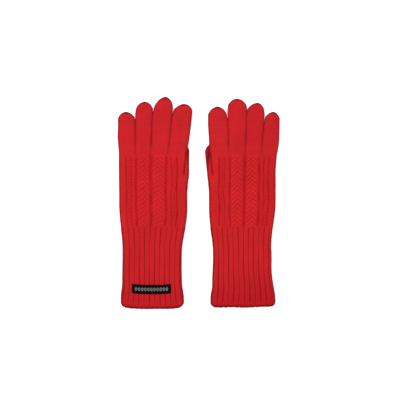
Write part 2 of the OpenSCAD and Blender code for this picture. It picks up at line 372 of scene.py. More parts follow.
def twist(n, q, y):
    """A narrow cable of two strands: its height, and where it is."""
    low, high = TWISTS[n]
    offset = q - (low + high) / 2
    inside = 1 - np.clip(np.abs(offset) / ((high - low) / 2), 0, 1) ** 4
    lean = TWIST_LEAN if n else -TWIST_LEAN
    return TWIST_RELIEF * (strands((y + lean * offset) / TWIST_PITCH) - 0.5), inside


def back_relief(glove, u, y, plain):
    """The hand's back: two chevron cables, two twists, ribs between and plain edges."""
    q = (0.25 - u) * 4 * HALF_BACK
    worked = 1 - over(y, glove.y_knuckle + 1.5 * np.cos(q / 9), PURL_END)
    cabled = 1 - over(y, glove.y_knuckle, CABLE_END)
    depth, sunken = purl_cuts(glove, q, y)
    height = -depth * worked
    in_cable = np.zeros_like(height)
    cables = [(*chevron(glove, n, q, y), 1) for n in (0, 1)] + [(*twist(n, q, y), 0.7) for n in (0, 1)]
    for cable, inside, share in cables:
        height = height + cabled * inside * cable
        in_cable = np.maximum(in_cable, share * inside * cabled)
    return height + plain * (1 - 0.45 * in_cable) * (1 - 0.4 * sunken * worked)


def trunk_relief(glove, u, y):
    """Relief of the cuff and the hand."""
    wrist, seam, knuckle = (-2.5, 2.5), (-0.002, 0.002), (-1.2, -0.1)
    on_back = smooth(0.5 - u, *seam) * smooth(u, *seam)
    plain = STITCH_RELIEF * stitches(u * WALES_ROUND_HAND, y / COURSE)
    worked = mix(plain, back_relief(glove, u, y, plain), on_back)
    under_fingers = 0.3 * over(y, glove.y_knuckle, knuckle)
    return mix(cuff_relief(glove, u, y), worked, over(y, glove.y_wrist, wrist)) - under_fingers


# ---- shapes of the knitted tubes
def flat_tube(half, rise, u):
    """A tube pressed flat, at share u of the way round from the index finger's side over the top."""
    flat = half - rise
    turn = math.pi * rise / 2
    round_it = 4 * flat + 4 * turn
    s = np.mod(u, 1) * round_it
    below = s > round_it / 2
    s = np.where(below, round_it - s, s)
    first, last = s / rise, (s - turn - 2 * flat) / rise
    on_first, on_last = s < turn, s > turn + 2 * flat
    x = np.where(on_first, flat + rise * np.cos(first), flat - (s - turn))
    x = np.where(on_last, -flat - rise * np.sin(last), x)
    z = np.where(on_first, rise * np.sin(first), rise)
    z = np.where(on_last, rise * np.cos(last), z)
    return x, np.where(below, -z, z)


def trunk(glove, u, y, inset, under):
    """Points of the cuff and the hand. under: "palm" rides over the thumb, "gusset" stays down beside it."""
    u, y = np.broadcast_arrays(u, y)
    depth = glove.rise - inset
    low, high = glove.low_edge(y), glove.high_edge(y)
    middle, half = (low + high) / 2, (high - low) / 2
    half_way = np.sign(0.25 - np.abs(u - 0.5)) * 40
    loose = 0.4 * wobble(y, half_way, SEEDS["slack"] + glove.sign, 70)
    x, z = flat_tube(half + loose - inset, depth, u)
    x = x + middle
    x = x + glove.bulge(y) * over(x, high, (-14, -2))
    if under == "gusset":
        edge = glove.lift_at(glove.high_edge(y), y)
        height = inset + (z + depth) * (depth + edge) / depth
    else:
        height = glove.rise + z + glove.lift_between(x, y, z, depth)
    sag = sag_at(glove, x, y) * smooth(z, 0, glove.rise)
    # the open end is not straight: it bows towards its corners, drops to one side and waves
    share = np.clip(np.abs(x - middle) / half, 0, 1)
    bow, shoulder, corner = glove.shape["bow"]
    drop = mix(*glove.shape["drop"][::-1], np.clip(0.5 + 0.5 * x / half, 0, 1))
    end = drop + bow * share ** 2 + shoulder * share ** 6 + corner * share ** 20
    wave = glove.shape["wave"] * np.sin(x / 6.5 + glove.sign) * over(y, glove.y_open, (14, 0))
    along = y + smooth(y, glove.y_wrist - 40, glove.y_open) * end + wave
    return np.stack([x, along, height + sag], axis=-1)


def sag_at(glove, x, y):
    """Slow unevenness of the knit's upper side."""
    return 0.45 * wobble(x, y, SEEDS["sag"] + glove.sign, 55)


def section(half, rise, power_low, power_high, count):
    """Rows of rounded boxes as (x, z), with count points spaced evenly round each."""
    theta = np.linspace(0, 2 * np.pi, 361)
    c, s = np.cos(theta), np.sin(theta)
    power = np.where(c > 0, power_high[:, None], power_low[:, None])
    x = half[:, None] * np.sign(c) * np.abs(c) ** (2 / power)
    z = rise[:, None] * np.sign(s) * np.abs(s) ** (2 / power)
    length = np.cumsum(np.hypot(np.diff(x, axis=1), np.diff(z, axis=1)), axis=1)
    length = np.concatenate([np.zeros((len(half), 1)), length], axis=1)
    rows = []
    for far, row_x, row_z in zip(length, x, z):
        at = np.linspace(0, far[-1], count + 1)[:count]
        rows.append((np.interp(at, far, row_x), np.interp(at, far, row_z)))
    rows = np.array(rows)
    return rows[:, 0], rows[:, 1]


def sleeve_stations(start, end, dome, half, count):
    """Stations evenly spaced along the sleeve's outline."""
    y = np.linspace(start, end, 4000)
    width = half * tip_share(y, end, dome)
    length = np.concatenate([[0], np.cumsum(np.hypot(np.diff(y), np.diff(width)))])
    return np.interp(np.linspace(0, length[-1], count + 1), length, y)


def tip_share(y, end, dome):
    """Share of its full width that a sleeve has near its tip."""
    t = np.clip((end - y) / dome, 0, 1)
    return (1 - (1 - t) ** 1.6) ** 0.6


def normals(points, wrap):
    """Outward unit normals of a grid of points."""
    along = np.gradient(points, axis=0)
    if wrap:
        around = (np.roll(points, -1, axis=1) - np.roll(points, 1, axis=1)) / 2
    else:
        around = np.gradient(points, axis=1)
    n = np.cross(along, around)
    size = np.linalg.norm(n, axis=2, keepdims=True)
    return n / np.maximum(size, 1e-9)


# ---- meshes
def corners_of(low, near, far, high):
    """Stacks the four corners of each cell, in the order of its face."""
    return np.stack([low, near, far, high], axis=-1)


def cell_corners(values):
    """The four corner values of each cell of a grid."""
    return np.stack([values[:-1, :-1], values[1:, :-1], values[1:, 1:], values[:-1, 1:]], axis=2)


def grid_uvs(rows, cols, low, high):
    """UV corners of a grid laid out between two heights of the map."""
    v = low + (high - low) * np.arange(rows + 1) / rows
    u = np.arange(cols + 1) / cols
    return cell_corners(np.stack(np.meshgrid(u, v), axis=-1))


def cell_numbers(rows, cols):
    return np.meshgrid(np.arange(rows), np.arange(cols), indexing="ij")


TURNED = [0, 3, 2, 1]  # the corners of a face that looks the other way
# Each side of a cell: the way to the cell beyond it, its first corner, and the way along it
CELL_SIDES = (
    ((-1, 0), (0, 0), (0, 1)),
    ((1, 0), (1, 1), (0, -1)),
    ((0, -1), (1, 0), (-1, 0)),
    ((0, 1), (0, 1), (1, 0)),
)
INSIDE_MAP, OUTSIDE_MAP = (0.0, 0.15), (0.2, 1.0)  # heights of the two surfaces on the map


class Shell:
    """Gathers the faces and UVs of a knitted shell, outside and inside."""

    def __init__(self, outer, inner, wrap, keep=None):
        self.outer, self.inner, self.wrap = outer, inner, wrap
        self.rows, self.cols = outer.shape[0] - 1, outer.shape[1] - (0 if wrap else 1)
        self.big_rows, self.big_cols = self.rows // COARSE, self.cols // COARSE
        self.keep = np.ones((self.big_rows, self.big_cols), bool) if keep is None else keep
        self.faces, self.bake, self.knit = [], [], []

    def out(self, j, i):
        width = self.outer.shape[1]
        return j * width + (i % width)

    def inn(self, j, i):
        width = self.inner.shape[1]
        return self.outer.shape[0] * self.outer.shape[1] + j * width + (i % width)

    def add(self, quads, bake, knit):
        self.faces.extend(quads.reshape(-1, quads.shape[-1]).tolist())
        self.bake.append(bake.reshape(-1, 2))
        self.knit.append(knit.reshape(-1, 2))

    def surfaces(self, knit_st):
        j, i = cell_numbers(self.rows, self.cols)
        mask = np.kron(self.keep, np.ones((COARSE, COARSE), bool)).astype(bool)
        out, uvs = self.out, grid_uvs(self.rows, self.cols, *OUTSIDE_MAP)
        quads = corners_of(out(j, i), out(j + 1, i), out(j + 1, i + 1), out(j, i + 1))
        self.add(quads[mask], uvs[mask], cell_corners(knit_st)[mask])
        j, i = cell_numbers(self.big_rows, self.big_cols)
        inn, uvs = self.inn, grid_uvs(self.big_rows, self.big_cols, *INSIDE_MAP)[..., TURNED, :]
        quads = corners_of(inn(j, i), inn(j, i + 1), inn(j + 1, i + 1), inn(j + 1, i))
        knit = cell_corners(knit_st[::COARSE, ::COARSE])[..., TURNED, :]
        self.add(quads[self.keep], uvs[self.keep], knit[self.keep])

    def there(self, j, i):
        if self.wrap:
            i %= self.big_cols
        return 0 <= j < self.big_rows and 0 <= i < self.big_cols and self.keep[j, i]

    def rims(self, closed_tip):
        """Joins the outside to the inside wherever the knit ends."""
        for j, i in np.argwhere(self.keep).tolist():
            for beyond, corner, step in CELL_SIDES:
                at_tip = closed_tip and j + beyond[0] == self.big_rows
                if at_tip or self.there(j + beyond[0], i + beyond[1]):
                    continue
                a, b = j + corner[0], i + corner[1]
                line = [(a * COARSE + n * step[0], b * COARSE + n * step[1]) for n in range(COARSE + 1)]
                inside = [self.inn(a + step[0], b + step[1]), self.inn(a, b)]
                self.rim([self.out(*place) for place in line], inside, i)

    def rim(self, outside, inside, place):
        loop = outside + inside
        count = len(loop)
        angle = 2 * math.pi * np.arange(count) / count
        u = (place + 0.5 + 0.4 * np.cos(angle)) / self.big_cols
        v = 0.175 + 0.01 * np.sin(angle)
        self.faces.append(loop)
        self.bake.append(np.stack([u, v], axis=-1))
        self.knit.append(np.zeros((count, 2)))

    def tips(self):
        """Closes both surfaces with a fan about a point each."""
        first_pole = self.outer.shape[0] * self.outer.shape[1] + self.inner.shape[0] * self.inner.shape[1]
        outside = (self.cols, self.out, self.rows, OUTSIDE_MAP[1])
        inside = (self.big_cols, self.inn, self.big_rows, INSIDE_MAP[1])
        for pole, (cols, index, row, top) in enumerate((outside, inside)):
            for i in range(cols):
                loop = [index(row, i), first_pole + pole, index(row, i + 1)]
                self.faces.append(loop[::-1] if pole else loop)
                self.bake.append(np.array([[i / cols, top], [(i + 0.5) / cols, top], [(i + 1) / cols, top]]))
                self.knit.append(np.zeros((3, 2)))


def place_object(name, data):
    thing = bpy.data.objects.new(name, data)
    bpy.context.scene.collection.objects.link(thing)
    return thing


def make_piece(glove, name, slot, node, points, faces, bake, knit, painted_shade):
    """A finished piece, from points of the glove's own frame."""
    name = f"{glove.side}_{name}"
    mesh = bpy.data.meshes.new(name)
    mesh.from_pydata(glove.to_frame(points), [], faces)
    for layer, values in (("OFBake", bake), ("Knit", knit)):
        flat = np.concatenate(values).astype(np.float32).ravel()
        mesh.uv_layers.new(name=layer).data.foreach_set("uv", flat)
    # the painted shade of each point, which the material turns into darker wool
    mesh.attributes.new("painted_shade", "FLOAT", "POINT").data.foreach_set("value", painted_shade.astype(np.float32))
    # the right glove's frame is a mirror image, so its faces turn over
    if glove.sign < 0:
        mesh.flip_normals()
    # the rims are flat, so that they leave the knit's own shading alone
    mesh.polygons.foreach_set("use_smooth", np.array([len(f) <= 4 for f in faces]))
    drop_loose_points(mesh)
    mesh.update()
    mesh.materials.append(LOOKS[slot])
    piece = place_object(name, mesh)
    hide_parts(f"{glove.side}_{node}")
    return piece


def drop_loose_points(mesh):
    """Removes points that no face uses."""
    used = np.zeros(len(mesh.vertices), bool)
    corners = np.empty(len(mesh.loops), int)
    mesh.loops.foreach_get("vertex_index", corners)
    used[corners] = True
    if used.all():
        return
    work = bmesh.new()
    work.from_mesh(mesh)
    work.verts.ensure_lookup_table()
    loose = [work.verts[n] for n in np.flatnonzero(~used)]
    bmesh.ops.delete(work, geom=loose, context="VERTS")
    work.to_mesh(mesh)
    work.free()


def shading(height, direction, outline=1.0):
    """Painted shade on the wool: 0 in a gutter or along an outline, 1 on a stitch; it darkens low knit and
    knit that turns away from above.
    """
    lowest, spread, steep_to_flat = -1.25, 1.9, (0.2, 0.99)
    raised = np.clip((height - lowest) / spread, 0, 1)
    steep = 1 - smooth(np.abs(direction[..., 2]), *steep_to_flat)
    return raised * (1 - STEEP_SHADE * outline * steep)


def from_side(x, low_side=True):
    """Distance from the sides of a glove or a finger."""
    distance = x.max(axis=1, keepdims=True) - x
    if low_side:
        distance = np.minimum(distance, x - x.min(axis=1, keepdims=True))
    return distance


def side_shade(x, low_side=True, strength=1.0):
    """Painted shade on the wool within about 2 mm of the sides."""
    return 1 - SIDE_SHADE * strength * (1 - smooth(from_side(x, low_side), *SIDE_SPAN))


def knit_shell(
    glove, name, slot, node, walls, height, knit_st, shade,
    outline=1.0, wrap=False, keep=None, closed_tip=False,
):
    """A knitted piece, from its plain outside and inside and the height of its knit. Each of its points also
    carries painted shade: darker in gutters, along the sides and outlines, where the knit turns away from
    above, and on the inside.
    """
    outer, inner = walls
    direction = normals(outer, wrap)
    raised = outer + direction * height[..., None]
    # painted shade: the wool darker towards the little finger's side
    across = over(outer[..., 0], 0, LITTLE_SIDE_SPAN)
    shade = shade * mix(glove.shape["little_side_shade"], 1, across)
    shell = Shell(raised, inner, wrap, keep)
    shell.surfaces(knit_st)
    shell.rims(closed_tip)
    points = [raised.reshape(-1, 3), inner.reshape(-1, 3)]
    painted_shade = [(shading(height, direction, outline) * shade).ravel(), np.full(len(points[1]), INSIDE_SHADE)]
    if closed_tip:
        shell.tips()
        points += [grid[-1].mean(axis=0)[None] for grid in (raised, inner)]
        painted_shade.append(np.array([TIP_POLE_SHADE, INSIDE_SHADE]))
    points, painted_shade = np.concatenate(points), np.concatenate(painted_shade)
    name = f"{name}_knit"
    return make_piece(glove, name, slot, node, points, shell.faces, shell.bake, shell.knit, painted_shade)


def even(count):
    """The nearest number of cells that the coarse inside divides."""
    return max(COARSE, int(round(count / COARSE)) * COARSE)


# ---- materials
def nodes_of(name):
    material = bpy.data.materials.new(name)
    material.use_nodes = True
    tree = material.node_tree
    tree.nodes.clear()
    return material, tree


def add_node(tree, kind, inputs=(), **values):
    """A node whose inputs are plain values or other nodes' outputs."""
    node = tree.nodes.new(kind)
    for key, value in values.items():
        setattr(node, key, value)
    for key, value in dict(inputs).items():
        if isinstance(value, bpy.types.NodeSocket):
            tree.links.new(value, node.inputs[key])
        else:
            node.inputs[key].default_value = value
    return node


def calculator(tree):
    """A short way to write sums of node outputs and numbers."""
    def calculate(operation, *terms):
        return add_node(tree, "ShaderNodeMath", enumerate(terms), operation=operation).outputs[0]
    return calculate


def map_parts(tree, name):
    """The two coordinates of a UV map."""
    place = add_node(tree, "ShaderNodeUVMap", uv_map=name).outputs[0]
    return add_node(tree, "ShaderNodeSeparateXYZ", {0: place}).outputs[:2]


def object_place(tree):
    return add_node(tree, "ShaderNodeTexCoord").outputs["Object"]


def noise(tree, **inputs):
    settings = {"Vector": object_place(tree), **inputs}
    return add_node(tree, "ShaderNodeTexNoise", settings).outputs["Fac"]


def between(tree, value, low, high, lowest=0):
    """Turns a number from lowest to 1 into one from low to high."""
    settings = {"Value": value, "From Min": lowest, "To Min": low, "To Max": high}
    return add_node(tree, "ShaderNodeMapRange", settings).outputs[0]


def scaled(tree, colour, factor):
    return add_node(tree, "ShaderNodeVectorMath", {0: colour, "Scale": factor}, operation="SCALE").outputs[0]


def bumps(tree, height, strength, distance):
    settings = {"Strength": strength, "Distance": distance, "Height": height}
    return add_node(tree, "ShaderNodeBump", settings).outputs[0]


def colour_ramp(tree, value, *stops):
    """Colours between stops, each a position and a colour."""
    node = add_node(tree, "ShaderNodeValToRGB", {0: value})
    elements = node.color_ramp.elements
    while len(elements) < len(stops):
        elements.new(1.0)
    for element, (position, colour) in zip(elements, stops):
        element.position = position
        element.color = (*colour, 1)
    return node.outputs["Color"]


def finish_shader(tree, inputs):
    shader = add_node(tree, "ShaderNodeBsdfPrincipled", inputs)
    add_node(tree, "ShaderNodeOutputMaterial", {0: shader.outputs[0]})


def wool(tree, colour, roughness=0.94, specular=0.08, sheen=0.05, **inputs):
    finish_shader(tree, {
        "Base Color": colour, "Roughness": roughness, "Specular IOR Level": specular,
        "Sheen Weight": sheen, "Sheen Roughness": 0.5, "Sheen Tint": (1.0, 0.3, 0.28, 1), **inputs,
    })


def stitch_height(tree, s, t):
    """The same Vs as stitches(), worked out in the material."""
    m = calculator(tree)
    a = m("MULTIPLY", m("ABSOLUTE", m("SUBTRACT", m("FRACT", s), 0.5)), 2.0)
    b = m("FRACT", m("SUBTRACT", t, m("MULTIPLY", a, STITCH_LEAN)))
    across = m("POWER", m("SINE", m("MULTIPLY", a, math.pi)), STITCH_ACROSS)
    along = m("POWER", m("SINE", m("MULTIPLY", b, math.pi)), STITCH_ALONG)
    return m("MULTIPLY", across, along)


def knit_material(name, low, high):
    """Red wool, with painted shade: darker down in the gutters and along the outlines."""
    material, tree = nodes_of(name)
    m = calculator(tree)
    stitch = stitch_height(tree, *map_parts(tree, "Knit"))
    painted_shade = add_node(tree, "ShaderNodeAttribute", attribute_name="painted_shade").outputs["Fac"]
    colour = colour_ramp(tree, painted_shade, (0.0, DARKEST_SHADE), (0.3, low), (0.8, high))
    dye = between(tree, noise(tree, Scale=45, Detail=6, Roughness=0.62), 0.84, 1.16)
    # painted shade in the crevices between the stitches' arms
    crevice_shade = between(tree, stitch, 0.76, 1.05)
    fuzz = noise(tree, Scale=2600, Detail=4)
    height = m("ADD", stitch, m("MULTIPLY", fuzz, 0.5))
    wool(tree, scaled(tree, colour, m("MULTIPLY", dye, crevice_shade)), Normal=bumps(tree, height, 0.65, 0.00035))
    return material


def label_material():
    """Black woven ribbon with a row of plain pale diamonds."""
    material, tree = nodes_of("woven_label_black")
    m = calculator(tree)
    black, pale = (0.0035, 0.0015, 0.002, 1), (0.31, 0.33, 0.31, 1)
    # the map runs in millimetres from the label's middle; the motif steps in whole threads
    along, across = map_parts(tree, "Knit")
    step_x, step_y = [
        m("MULTIPLY", m("ROUND", m("DIVIDE", way, LABEL_THREAD)), LABEL_THREAD) for way in (along, across)
    ]
    cell = m("FRACT", m("ADD", m("DIVIDE", step_x, MOTIF_PITCH), 0.5))
    from_middle = m("MULTIPLY", m("ABSOLUTE", m("SUBTRACT", cell, 0.5)), MOTIF_PITCH)
    ring = m("ADD", from_middle, m("MULTIPLY", m("ABSOLUTE", step_y), DIAMOND_SQUASH))
    line = m("LESS_THAN", m("ABSOLUTE", m("SUBTRACT", ring, DIAMOND_HALF)), DIAMOND_LINE)
    motif = m("MULTIPLY", line, m("LESS_THAN", m("ABSOLUTE", along), MOTIF_HALF))
    warp, weft = [m("SINE", m("MULTIPLY", way, 2 * math.pi / LABEL_THREAD)) for way in (along, across)]
    weave = m("MULTIPLY", warp, weft)
    colour = add_node(tree, "ShaderNodeMix", {0: motif, 6: black, 7: pale}, data_type="RGBA").outputs[2]
    wool(
        tree, scaled(tree, colour, between(tree, weave, 0.7, 1.1, lowest=-1)), roughness=0.8,
        specular=0.03, sheen=0, Normal=bumps(tree, m("ADD", weave, motif), 0.5, 0.0001),
    )
    return material


def thread_material():
    """Black sewing thread with its twist."""
    material, tree = nodes_of("label_thread_black")
    settings = {"Scale": 900, "Vector": object_place(tree)}
    ply = add_node(tree, "ShaderNodeTexWave", settings, wave_type="BANDS", bands_direction="DIAGONAL")
    dark, light = (0.003, 0.002, 0.002), (0.02, 0.015, 0.016)
    wool(tree, colour_ramp(tree, ply.outputs["Fac"], (0.0, dark), (1.0, light)), roughness=0.6)
    return material


# the colour of the deepest painted shade
DARKEST_SHADE = (0.13, 0.003, 0.006)
# each knit's red comes as a painted-shade colour and a lit colour
LOOKS = {
    "plain_knit": knit_material("plain_knit_red", (0.35, 0.006, 0.011), (0.55, 0.0145, 0.0190)),
    "cable_knit": knit_material("cable_knit_red", (0.37, 0.003, 0.007), (0.59, 0.0160, 0.0195)),
    "ribbed_knit": knit_material("ribbed_knit_red", (0.37, 0.003, 0.007), (0.53, 0.0140, 0.0180)),
    "label_weave": label_material(),
    "label_thread": thread_material(),
}


# ---- pieces
def knit_coords(u, y, around):
    """Stitch coordinates of grid corners: columns of stitches around, rows along."""
    u, y = np.broadcast_arrays(u, y)
    return np.stack([u * around, y / COURSE], axis=-1)


def turns(cols, extra=0):
    """Shares of the way round; with extra=1, the full turn as well."""
    return (np.arange(cols + extra) / cols)[None]


def trunk_walls(glove, u, y, under="palm"):
    """Outside and inside of a stretch of the cuff or the hand."""
    return trunk(glove, u, y, 0, under), trunk(glove, u[:, ::COARSE], y[::COARSE], WALL, under)


def make_cuff(glove):
    bottom = glove.y_hem - 1.5  # a little way into the hem
    rows, cols = even((glove.y_wrist - bottom) / CUFF_CELL), even(CUFF_ROUND / CELL)
    y = np.linspace(bottom, glove.y_wrist, rows + 1)[:, None]
    u = turns(cols)
    walls = trunk_walls(glove, u, y)
    knit = knit_coords(rib_phase(glove, turns(cols, 1)), y, WALES_PER_RIB)
    up_the_cuff = over(y, glove.y_open, (0, HEM_SHADE_REACH))
    # painted shade: the cuff darker along its sides and towards its open end
    shade = side_shade(walls[0][..., 0]) * mix(glove.shape["hem_shade"], 1, up_the_cuff)
    height = trunk_relief(glove, u, y)
    return knit_shell(
        glove, "ribbed_cuff", "ribbed_knit", "ribbed_cuff", walls, height, knit, shade, wrap=True)


def make_hem(glove):
    """The turned welt: one band that runs round the cuff's edge from outside to inside."""
    cols = even(CUFF_ROUND / CELL)
    proud, groove, lower_groove = 0.35, 0.35, 0.18
    corner = HEM_WALL / 2
    straight = glove.y_hem - glove.y_open - corner
    down, bend = np.linspace(0, 1, 8), np.linspace(0, np.pi, 9)
    along = np.concatenate([
        straight * (1 - down[:-1]),
        -corner * np.sin(bend),
        straight * down[1:-1],
        straight + 0.5 * corner * np.sin(bend),
    ])
    inset = np.concatenate([
        np.zeros(len(down) - 1),
        corner * (1 - np.cos(bend)),
        np.full(len(down) - 2, HEM_WALL),
        corner * (1 + np.cos(bend)),
    ]) - proud
    y = glove.y_open + corner + along
    u = turns(cols)
    gutter = rib_gutter(rib_phase(glove, u), 0.15)
    rows = []
    for station, depth in zip(y, inset):
        points = trunk(glove, u, np.full((1, cols), station), depth, "palm")[0]
        points[:, 1] += lower_groove * gutter[0] * (station < glove.y_open + corner)
        rows.append(points)
    grid = np.array(rows)
    count = len(rows)
    around = np.concatenate([grid[-1:], grid, grid[:1]])
    # the rows run down the outside, so their normals point inwards
    direction = -normals(around, True)[1:-1]
    rounds = np.arange(count + 1)[:, None] * 0.5
    knit_height = stitches(rib_phase(glove, u) * WALES_PER_RIB, rounds[:count])
    below_seam = over(y, glove.y_hem, (0, -2.5))[:, None]
    height = 0.2 * knit_height - groove * gutter * below_seam
    # painted shade: the hem darker at its lower edge
    lower_edge_shade = mix(0.15, 1, over(y, glove.y_open, (0.7, 5.0)))[:, None]
    grid = grid + direction * height[..., None]
    row, col = cell_numbers(count, cols)
    below, beside = (row + 1) % count, (col + 1) % cols
    quads = corners_of(row * cols + col, row * cols + beside, below * cols + beside, below * cols + col)
    knit = knit_coords(rib_phase(glove, turns(cols, 1)), rounds * COURSE, WALES_PER_RIB)
    # painted shade: the hem's wool darker in its grooves, along the sides and towards the cuff's open end
    painted_hem_shade = shading(height, direction) * side_shade(grid[..., 0]) * glove.shape["hem_shade"] * lower_edge_shade
    return make_piece(
        glove, "cuff_hem_knit", "ribbed_knit", "cuff_hem", grid, quads.reshape(-1, 4).tolist(),
        [grid_uvs(count, cols, 0.0, 1.0)[..., TURNED, :].reshape(-1, 2)],
        [cell_corners(knit)[..., TURNED, :].reshape(-1, 2)], painted_hem_shade.ravel(),
    )


def hand_piece(glove, name, slot, node, u, y, under="palm", keep=None, low_side=True):
    """One piece of the hand, which rides on it."""
    walls = trunk_walls(glove, u, y, under)
    x, along = walls[0][..., 0], walls[0][..., 1]
    height = trunk_relief(glove, u, y)
    if node == "cable_back":
        height = height - knuckle_valleys(glove, x, along) - CREASE_DEPTH * glove.crease(x, along)
    knit = knit_coords(u, y, WALES_ROUND_HAND)
    # painted shade along the hand's sides
    shade = side_shade(x, low_side)
    piece = knit_shell(glove, name, slot, node, walls, height, knit, shade, keep=keep)
    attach(piece, f"{glove.side}_hand_body")


def make_hand(glove):
    """The back, the palm and the gusset, which fills a notch in the palm."""
    # a coarse row lies exactly where the gusset ends and the thumb begins
    lower = even((glove.y_thumb - glove.y_wrist) / CELL)
    upper = even((glove.y_knuckle - glove.y_thumb) / CELL)
    y = np.concatenate([
        np.linspace(glove.y_wrist, glove.y_thumb, lower + 1)[:-1],
        np.linspace(glove.y_thumb, glove.y_knuckle - 0.15, upper + 1),
    ])[:, None]
    half_cols = even(HAND_ACROSS / CELL)
    low, high = glove.low_edge(glove.y_wrist), glove.high_edge(glove.y_wrist)
    gusset_col = int(half_cols * (PALM_RAMP[0] - low) / (high - low) / COARSE) * COARSE
    keep = np.ones(((len(y) - 1) // COARSE, half_cols // COARSE), bool)
    keep[: lower // COARSE, gusset_col // COARSE:] = False
    upper_side = np.linspace(0, 0.5, half_cols + 1)[None]
    under_side = np.linspace(0.5, 1, half_cols + 1)[None]
    hand_piece(glove, "cable_back", "cable_knit", "cable_back", upper_side, y)
    hand_piece(glove, "palm", "plain_knit", "palm_panel", under_side, y, keep=keep)
    notch = (under_side[:, gusset_col:], y[: lower + 1])
    hand_piece(
        glove, "thumb_gusset", "plain_knit", "thumb_gusset", *notch, under="gusset", low_side=False)


def knuckle_valleys(glove, x, y):
    """Depth of the dips that lead into the gaps between the fingers."""
    lines = [glove.finger_edge(n, glove.y_knuckle) for n in (1, 2, 3)]
    return VALLEY_DEPTH * sum(hump(x - line, 1.3) for line in lines) * over(y, glove.y_knuckle, (-7, 0))


def make_sleeve(glove, part, start, end, dome, rise, edges, beside, on_hand, apex, seed):
    """A closed-end knitted tube, for a finger or the thumb. edges(y) gives its two sides, beside says on
    which of them another finger lies, and on_hand whether it starts at the hand's full thickness."""
    tuck_in, overlap, touch, apart = 3.0, 0.7, -0.05, 0.75
    round_tube, tight_join, loose_join = 2.7, 10, 3.3  # how square its section is
    at_base, to_tip, tucked = (11, -1), (-9, 2), (-0.4, -1.4)
    middle_half = np.diff(edges(end - 15))[0] / 2
    rows = even((end - start + dome * 0.5) / CELL)
    cols = even(2 * (2 * middle_half + 2) / CELL)
    seed_side = seed + glove.sign

    def surface(inset, rows_used, cols_used, reach):
        y = sleeve_stations(start - tuck_in, reach, dome, middle_half, rows)[:: rows // rows_used]
        y[-1] = mix(y[-2], y[-1], 0.75)
        share = tip_share(y, reach, dome)
        base = over(y, start, at_base)
        low, high = edges(y)
        gap = mix(touch + apart * over(y, reach - dome, to_tip), -overlap, base)
        low, high = low + beside[0] * gap, high - beside[1] * gap
        loose = 0.3 * wobble(y, 0.0, seed_side, 34) * (1 - base)
        hidden = 0.5 * over(y, start, tucked)
        half = ((high - low) / 2 + loose) * share - hidden
        height = rise * mix(0.42, 1, share) * mix(1.0, glove.rise / rise, base * on_hand) - hidden
        powers = [mix(round_tube, tight_join if near else loose_join, base) for near in beside]
        thin_half = np.maximum(half - inset * mix(0.4, 1, share), 0.4)
        thin_height = np.maximum(height - inset * mix(0.45, 1, share), 0.5)
        x, z = section(thin_half, thin_height, *powers, cols_used)
        sway = 0.4 * wobble(y, 0.0, seed_side + 40, 80) * (1 - base)
        x = x + ((low + high) / 2 + apex * (1 - share) + sway)[:, None]
        station = np.broadcast_to(y[:, None], x.shape)
        upper, base = smooth(z, 0, rise), base[:, None]
        sag = 0.3 * wobble(x, station, seed * 7 + glove.sign, 38) * upper * (1 - base)
        sag = sag + sag_at(glove, x, station) * upper * base * on_hand
        lift = glove.lift_between(x, station, z, height[:, None]) * on_hand
        if part == "thumb_sleeve":
            lift = lift + glove.thumb_puff(x, station) * smooth(z, -1, rise) * share[:, None]
        return np.stack([x, station, (height + hidden)[:, None] + z + lift + sag], axis=-1), y

    outer, y = surface(0, rows, cols, end)
    inner, _ = surface(FINGER_WALL, rows // COARSE, cols // COARSE, end - WALL)
    y = y[:, None]
    x, share = outer[..., 0], tip_share(y, end, dome)
    fade = mix(0.35, 1, smooth(share, 0.1, 0.5))
    height = STITCH_RELIEF * fade * stitches(turns(cols) * WALES_ROUND_FINGER, y / COURSE) + 0.08
    # a shallow valley runs along each neighbour, near the base and only on the upper and lower sides
    neighbour = np.where(x < x.mean(axis=1, keepdims=True), *beside)
    level = smooth(np.abs(normals(outer, True)[..., 2]), 0.6, 0.97)
    near_base = neighbour * (1 - over(y, start, (7, 13))) * level
    height = height - VALLEY_DEPTH * near_base * hump(from_side(x), 1.5)
    # painted shade: a finger darker along its sides, less where a neighbour lies beside it, and darker
    # towards its tip
    outline = 1 - 0.75 * neighbour * (1 - over(y, end - dome, to_tip))
    fingertip_shade = mix(0.05, 1, smooth(share, 0.25, 0.76))
    shade = fingertip_shade * side_shade(x, strength=outline)
    knit = knit_coords(turns(cols, 1), y, WALES_ROUND_FINGER)
    return knit_shell(
        glove, part, "plain_knit", part, (outer, inner), height, knit, shade, outline,
        wrap=True, closed_tip=True,
    )


def bend_at(glove, piece, x, start, end):
    """Bakes the piece's placement into its mesh; the two spots on the floor where it would bend are worked
    out but not used.
    """
    start, end = glove.spot(x, start), glove.spot(x, end)
    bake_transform(piece)


def make_fingers(glove):
    knuckle, shape = glove.y_knuckle, glove.shape
    last = len(FINGERS) - 1
    for n, finger in enumerate(FINGERS):
        def edges(y, n=n):
            return glove.finger_edge(n, y), glove.finger_edge(n + 1, y)

        part = f"{finger}_sleeve"
        piece = make_sleeve(
            glove, part, knuckle, glove.box(part)[1][1] - 0.3, shape["dome"][n], glove.finger_rise,
            edges, (n > 0, n < last), 1, shape["apex"][n], 10 * n + SEEDS["fingers"],
        )
        bend_at(glove, piece, sum(edges(knuckle)) / 2, knuckle + 1, knuckle + 19)


def make_thumb(glove):
    start, side = glove.y_thumb, glove.shape["thumb_edge"][0]

    def edges(y):
        high = side + glove.thumb_lean(y)
        return high - glove.thumb_width, high

    piece = make_sleeve(
        glove, "thumb_sleeve", start, glove.y_thumb_tip + THUMB_REACH, THUMB_DOME, glove.thumb_rise,
        edges, (0, 0), 0, glove.shape["thumb_apex"], SEEDS["thumb"],
    )
    bend_at(glove, piece, side, start + 1, start + 16)


